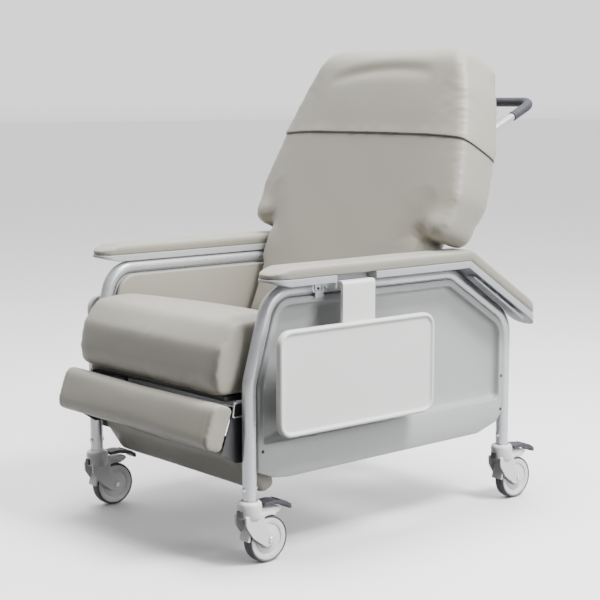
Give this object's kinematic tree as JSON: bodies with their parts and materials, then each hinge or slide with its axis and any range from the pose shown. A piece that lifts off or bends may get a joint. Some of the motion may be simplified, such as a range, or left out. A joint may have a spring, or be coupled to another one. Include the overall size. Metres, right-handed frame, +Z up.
{
  "type": "patient recliner chair",
  "caption": "Padded medical recliner on braked casters, with tubular side frames, side panels, fold-down trays and a sliding legrest.",
  "frame": {"origin": "on the floor, at the centre of the overall footprint", "axes": "+X towards the sitter's left arm, -Y towards the legrest, +Z up"},
  "size_m": [0.7992, 1.1652, 1.1793],
  "materials": {
    "frame_paint": "satin silver powder coat",
    "black_steel": "semi-gloss black paint",
    "side_plastic": "moulded light grey plastic",
    "arm_plastic": "moulded light grey plastic",
    "tray_plastic": "off-white moulded plastic",
    "vinyl": "warm grey fine-grained vinyl upholstery",
    "back_shell": "warm grey vinyl over a board",
    "plated_steel": "zinc plated",
    "grip_rubber": "dark foam grip",
    "caster_plastic": "white moulded nylon",
    "tyre_rubber": "dark grey tread",
    "pedal_plastic": "dark grey plastic"
  },
  "bodies": {
    "frame": {"side_frame_left": "frame_paint", "side_frame_right": "frame_paint", "seat_front_cross_tube": "black_steel", "seat_rear_cross_tube": "black_steel", "rear_cross_tube": "frame_paint", "side_panel_left": "side_plastic", "side_panel_right": "side_plastic", "inner_panel_left": "vinyl", "inner_panel_right": "vinyl", "armrest_base_left": "arm_plastic", "armrest_base_right": "arm_plastic", "armrest_pad_left": "vinyl", "armrest_pad_right": "vinyl", "tray_bracket_left": "plated_steel", "tray_bracket_right": "plated_steel", "seat_cushion": "vinyl", "seat_pan": "black_steel", "recline_bracket_left": "black_steel", "recline_bracket_right": "black_steel", "legrest_fixed_rail_left": "black_steel", "legrest_fixed_rail_right": "black_steel", "caster_stem_front_left": "plated_steel", "caster_stem_front_right": "plated_steel", "caster_stem_rear_left": "plated_steel", "caster_stem_rear_right": "plated_steel"},
    "back": {"back_cushion": "vinyl", "head_cover": "vinyl", "back_panel": "back_shell", "push_handle": "frame_paint", "handle_grip": "grip_rubber"},
    "gas_cylinder": {"gas_spring_cylinder": "black_steel"},
    "gas_rod": {"gas_spring_rod": "plated_steel"},
    "legrest_carriage": {"legrest_carriage": "black_steel"},
    "legrest": {"legrest_pad": "vinyl", "legrest_frame": "black_steel"},
    "footrest": {"foot_pad": "vinyl", "foot_pad_frame": "black_steel"},
    "tray_left": {"tray_left": "tray_plastic"},
    "tray_right": {"tray_right": "tray_plastic"},
    "swivel_front_left": {"caster_housing_front_left": "caster_plastic", "caster_axle_front_left": "plated_steel"},
    "wheel_front_left": {"wheel_hub_front_left": "caster_plastic", "wheel_tyre_front_left": "tyre_rubber"},
    "pedal_front_left": {"brake_pedal_front_left": "pedal_plastic"},
    "swivel_front_right": {"caster_housing_front_right": "caster_plastic", "caster_axle_front_right": "plated_steel"},
    "wheel_front_right": {"wheel_hub_front_right": "caster_plastic", "wheel_tyre_front_right": "tyre_rubber"},
    "pedal_front_right": {"brake_pedal_front_right": "pedal_plastic"},
    "swivel_rear_left": {"caster_housing_rear_left": "caster_plastic", "caster_axle_rear_left": "plated_steel"},
    "wheel_rear_left": {"wheel_hub_rear_left": "caster_plastic", "wheel_tyre_rear_left": "tyre_rubber"},
    "pedal_rear_left": {"brake_pedal_rear_left": "pedal_plastic"},
    "swivel_rear_right": {"caster_housing_rear_right": "caster_plastic", "caster_axle_rear_right": "plated_steel"},
    "wheel_rear_right": {"wheel_hub_rear_right": "caster_plastic", "wheel_tyre_rear_right": "tyre_rubber"},
    "pedal_rear_right": {"brake_pedal_rear_right": "pedal_plastic"}
  },
  "joints": [
    {"name": "back_recline", "type": "hinge", "parent": "frame", "child": "back", "pos_m": [0, 0.17615, 0.56], "axis": [-1, 0, 0], "range_deg": [0, 33]},
    {"name": "gas_spring_tilt", "type": "hinge", "parent": "frame", "child": "gas_cylinder", "pos_m": [0, 0.33615, 0.285], "axis": [-1, 0, 0], "range_deg": [0, 1.42]},
    {"name": "gas_spring_extend", "type": "slide", "parent": "gas_cylinder", "child": "gas_rod", "axis": [0, -0.8493, 0.5279], "range_m": [0, 0.08772]},
    {"name": "legrest_slide", "type": "slide", "parent": "frame", "child": "legrest_carriage", "axis": [0, -0.9613, 0.2756], "range_m": [0, 0.125]},
    {"name": "legrest_tilt", "type": "hinge", "parent": "legrest_carriage", "child": "legrest", "pos_m": [0, -0.49025, 0.356], "axis": [-1, 0, 0], "range_deg": [0, 66.2]},
    {"name": "foot_swing", "type": "hinge", "parent": "legrest_carriage", "child": "footrest", "pos_m": [0, -0.49025, 0.356], "axis": [-1, 0, 0], "range_deg": [0, 119.6]},
    {"name": "tray_fold_left", "type": "hinge", "parent": "frame", "child": "tray_left", "pos_m": [0.37, -0.19585, 0.63], "axis": [0, -1, 0], "range_deg": [0, 90]},
    {"name": "tray_fold_right", "type": "hinge", "parent": "frame", "child": "tray_right", "pos_m": [-0.37, -0.19585, 0.63], "axis": [0, 1, 0], "range_deg": [0, 90]},
    {"name": "caster_swivel_front_left", "type": "hinge", "parent": "frame", "child": "swivel_front_left", "pos_m": [0.32, -0.46385, 0.13], "axis": [0, 0, 1], "continuous": true},
    {"name": "wheel_spin_front_left", "type": "hinge", "parent": "swivel_front_left", "child": "wheel_front_left", "pos_m": [0.32, -0.41885, 0.055], "axis": [1, 0, 0], "continuous": true},
    {"name": "brake_release_front_left", "type": "hinge", "parent": "swivel_front_left", "child": "pedal_front_left", "pos_m": [0.32, -0.42985, 0.14], "axis": [1, 0, 0], "range_deg": [0, 12]},
    {"name": "caster_swivel_front_right", "type": "hinge", "parent": "frame", "child": "swivel_front_right", "pos_m": [-0.32, -0.46385, 0.13], "axis": [0, 0, 1], "continuous": true},
    {"name": "wheel_spin_front_right", "type": "hinge", "parent": "swivel_front_right", "child": "wheel_front_right", "pos_m": [-0.32, -0.41885, 0.055], "axis": [1, 0, 0], "continuous": true},
    {"name": "brake_release_front_right", "type": "hinge", "parent": "swivel_front_right", "child": "pedal_front_right", "pos_m": [-0.32, -0.42985, 0.14], "axis": [1, 0, 0], "range_deg": [0, 12]},
    {"name": "caster_swivel_rear_left", "type": "hinge", "parent": "frame", "child": "swivel_rear_left", "pos_m": [0.32, 0.38115, 0.13], "axis": [0, 0, 1], "continuous": true},
    {"name": "wheel_spin_rear_left", "type": "hinge", "parent": "swivel_rear_left", "child": "wheel_rear_left", "pos_m": [0.32, 0.42615, 0.055], "axis": [1, 0, 0], "continuous": true},
    {"name": "brake_release_rear_left", "type": "hinge", "parent": "swivel_rear_left", "child": "pedal_rear_left", "pos_m": [0.32, 0.41515, 0.14], "axis": [1, 0, 0], "range_deg": [0, 12]},
    {"name": "caster_swivel_rear_right", "type": "hinge", "parent": "frame", "child": "swivel_rear_right", "pos_m": [-0.32, 0.38115, 0.13], "axis": [0, 0, 1], "continuous": true},
    {"name": "wheel_spin_rear_right", "type": "hinge", "parent": "swivel_rear_right", "child": "wheel_rear_right", "pos_m": [-0.32, 0.42615, 0.055], "axis": [1, 0, 0], "continuous": true},
    {"name": "brake_release_rear_right", "type": "hinge", "parent": "swivel_rear_right", "child": "pedal_rear_right", "pos_m": [-0.32, 0.41515, 0.14], "axis": [1, 0, 0], "range_deg": [0, 12]}
  ],
  "couplings": [
    {"joint": "gas_spring_tilt", "follows": "back_recline", "ratio": 0.04219},
    {"joint": "gas_spring_extend", "follows": "back_recline", "m_per_rad": 0.14932},
    {"joint": "legrest_tilt", "follows": "legrest_slide", "rad_per_m": 9.2153},
    {"joint": "foot_swing", "follows": "legrest_slide", "rad_per_m": 16.671}
  ]
}
